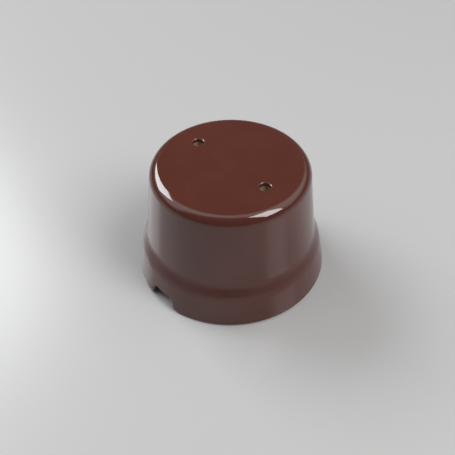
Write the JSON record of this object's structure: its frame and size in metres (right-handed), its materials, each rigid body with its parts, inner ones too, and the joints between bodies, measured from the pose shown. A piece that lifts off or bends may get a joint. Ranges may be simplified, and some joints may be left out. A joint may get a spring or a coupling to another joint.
{
  "type": "porcelain junction box",
  "caption": "Round surface-mounted porcelain insulator box: glazed lift-off cover with screw holes and cable notches over a base with brass clamp terminals.",
  "frame": {"origin": "centre of the foot in the plane of the wall that the box is screwed to", "axes": "+Z away from the wall through the cover's top; X through the two cover screw holes; -Y through the front cable notch and +Y through the back one"},
  "size_m": [0.068, 0.0668, 0.044],
  "materials": {
    "brown_glaze": "gloss brown porcelain glaze, opaque",
    "brass": "machined brass",
    "plated_steel": "zinc plated steel"
  },
  "bodies": {
    "base_body": {"base": "brown_glaze", "pillar_left": "brass", "pillar_right": "brass", "pillar_screws": "plated_steel", "pillar_washers": "plated_steel", "terminal_left": "brass", "terminal_middle": "brass", "terminal_right": "brass", "terminal_screws": "plated_steel", "terminal_washers": "plated_steel"},
    "cover_body": {"cover": "brown_glaze"},
    "plate_left_front": {"clamp_plate_left_front": "plated_steel"},
    "screw_left_front": {"clamp_screw_left_front": "brass"},
    "plate_left_back": {"clamp_plate_left_back": "plated_steel"},
    "screw_left_back": {"clamp_screw_left_back": "brass"},
    "plate_middle_front": {"clamp_plate_middle_front": "plated_steel"},
    "screw_middle_front": {"clamp_screw_middle_front": "brass"},
    "plate_middle_back": {"clamp_plate_middle_back": "plated_steel"},
    "screw_middle_back": {"clamp_screw_middle_back": "brass"},
    "plate_right_front": {"clamp_plate_right_front": "plated_steel"},
    "screw_right_front": {"clamp_screw_right_front": "brass"},
    "plate_right_back": {"clamp_plate_right_back": "plated_steel"},
    "screw_right_back": {"clamp_screw_right_back": "brass"}
  },
  "joints": [
    {"name": "cover_lift", "type": "slide", "parent": "base_body", "child": "cover_body", "axis": [0, 0, 1], "range_m": [0, 0.06]},
    {"name": "clamp_travel_left_front", "type": "slide", "parent": "base_body", "child": "plate_left_front", "axis": [0, 0, 1], "range_m": [0, 0.003]},
    {"name": "clamp_turn_left_front", "type": "hinge", "parent": "plate_left_front", "child": "screw_left_front", "pos_m": [-0.008, -0.00725, 0.0175], "axis": [0, 0, 1], "range_deg": [0, 2160]},
    {"name": "clamp_travel_left_back", "type": "slide", "parent": "base_body", "child": "plate_left_back", "axis": [0, 0, 1], "range_m": [0, 0.003]},
    {"name": "clamp_turn_left_back", "type": "hinge", "parent": "plate_left_back", "child": "screw_left_back", "pos_m": [-0.008, 0.00725, 0.0175], "axis": [0, 0, 1], "range_deg": [0, 2160]},
    {"name": "clamp_travel_middle_front", "type": "slide", "parent": "base_body", "child": "plate_middle_front", "axis": [0, 0, 1], "range_m": [0, 0.003]},
    {"name": "clamp_turn_middle_front", "type": "hinge", "parent": "plate_middle_front", "child": "screw_middle_front", "pos_m": [0, -0.00725, 0.0175], "axis": [0, 0, 1], "range_deg": [0, 2160]},
    {"name": "clamp_travel_middle_back", "type": "slide", "parent": "base_body", "child": "plate_middle_back", "axis": [0, 0, 1], "range_m": [0, 0.003]},
    {"name": "clamp_turn_middle_back", "type": "hinge", "parent": "plate_middle_back", "child": "screw_middle_back", "pos_m": [0, 0.00725, 0.0175], "axis": [0, 0, 1], "range_deg": [0, 2160]},
    {"name": "clamp_travel_right_front", "type": "slide", "parent": "base_body", "child": "plate_right_front", "axis": [0, 0, 1], "range_m": [0, 0.003]},
    {"name": "clamp_turn_right_front", "type": "hinge", "parent": "plate_right_front", "child": "screw_right_front", "pos_m": [0.008, -0.00725, 0.0175], "axis": [0, 0, 1], "range_deg": [0, 2160]},
    {"name": "clamp_travel_right_back", "type": "slide", "parent": "base_body", "child": "plate_right_back", "axis": [0, 0, 1], "range_m": [0, 0.003]},
    {"name": "clamp_turn_right_back", "type": "hinge", "parent": "plate_right_back", "child": "screw_right_back", "pos_m": [0.008, 0.00725, 0.0175], "axis": [0, 0, 1], "range_deg": [0, 2160]}
  ],
  "couplings": [
    {"joint": "clamp_turn_left_front", "follows": "clamp_travel_left_front", "rad_per_m": 12566},
    {"joint": "clamp_turn_left_back", "follows": "clamp_travel_left_back", "rad_per_m": 12566},
    {"joint": "clamp_turn_middle_front", "follows": "clamp_travel_middle_front", "rad_per_m": 12566},
    {"joint": "clamp_turn_middle_back", "follows": "clamp_travel_middle_back", "rad_per_m": 12566},
    {"joint": "clamp_turn_right_front", "follows": "clamp_travel_right_front", "rad_per_m": 12566},
    {"joint": "clamp_turn_right_back", "follows": "clamp_travel_right_back", "rad_per_m": 12566}
  ]
}
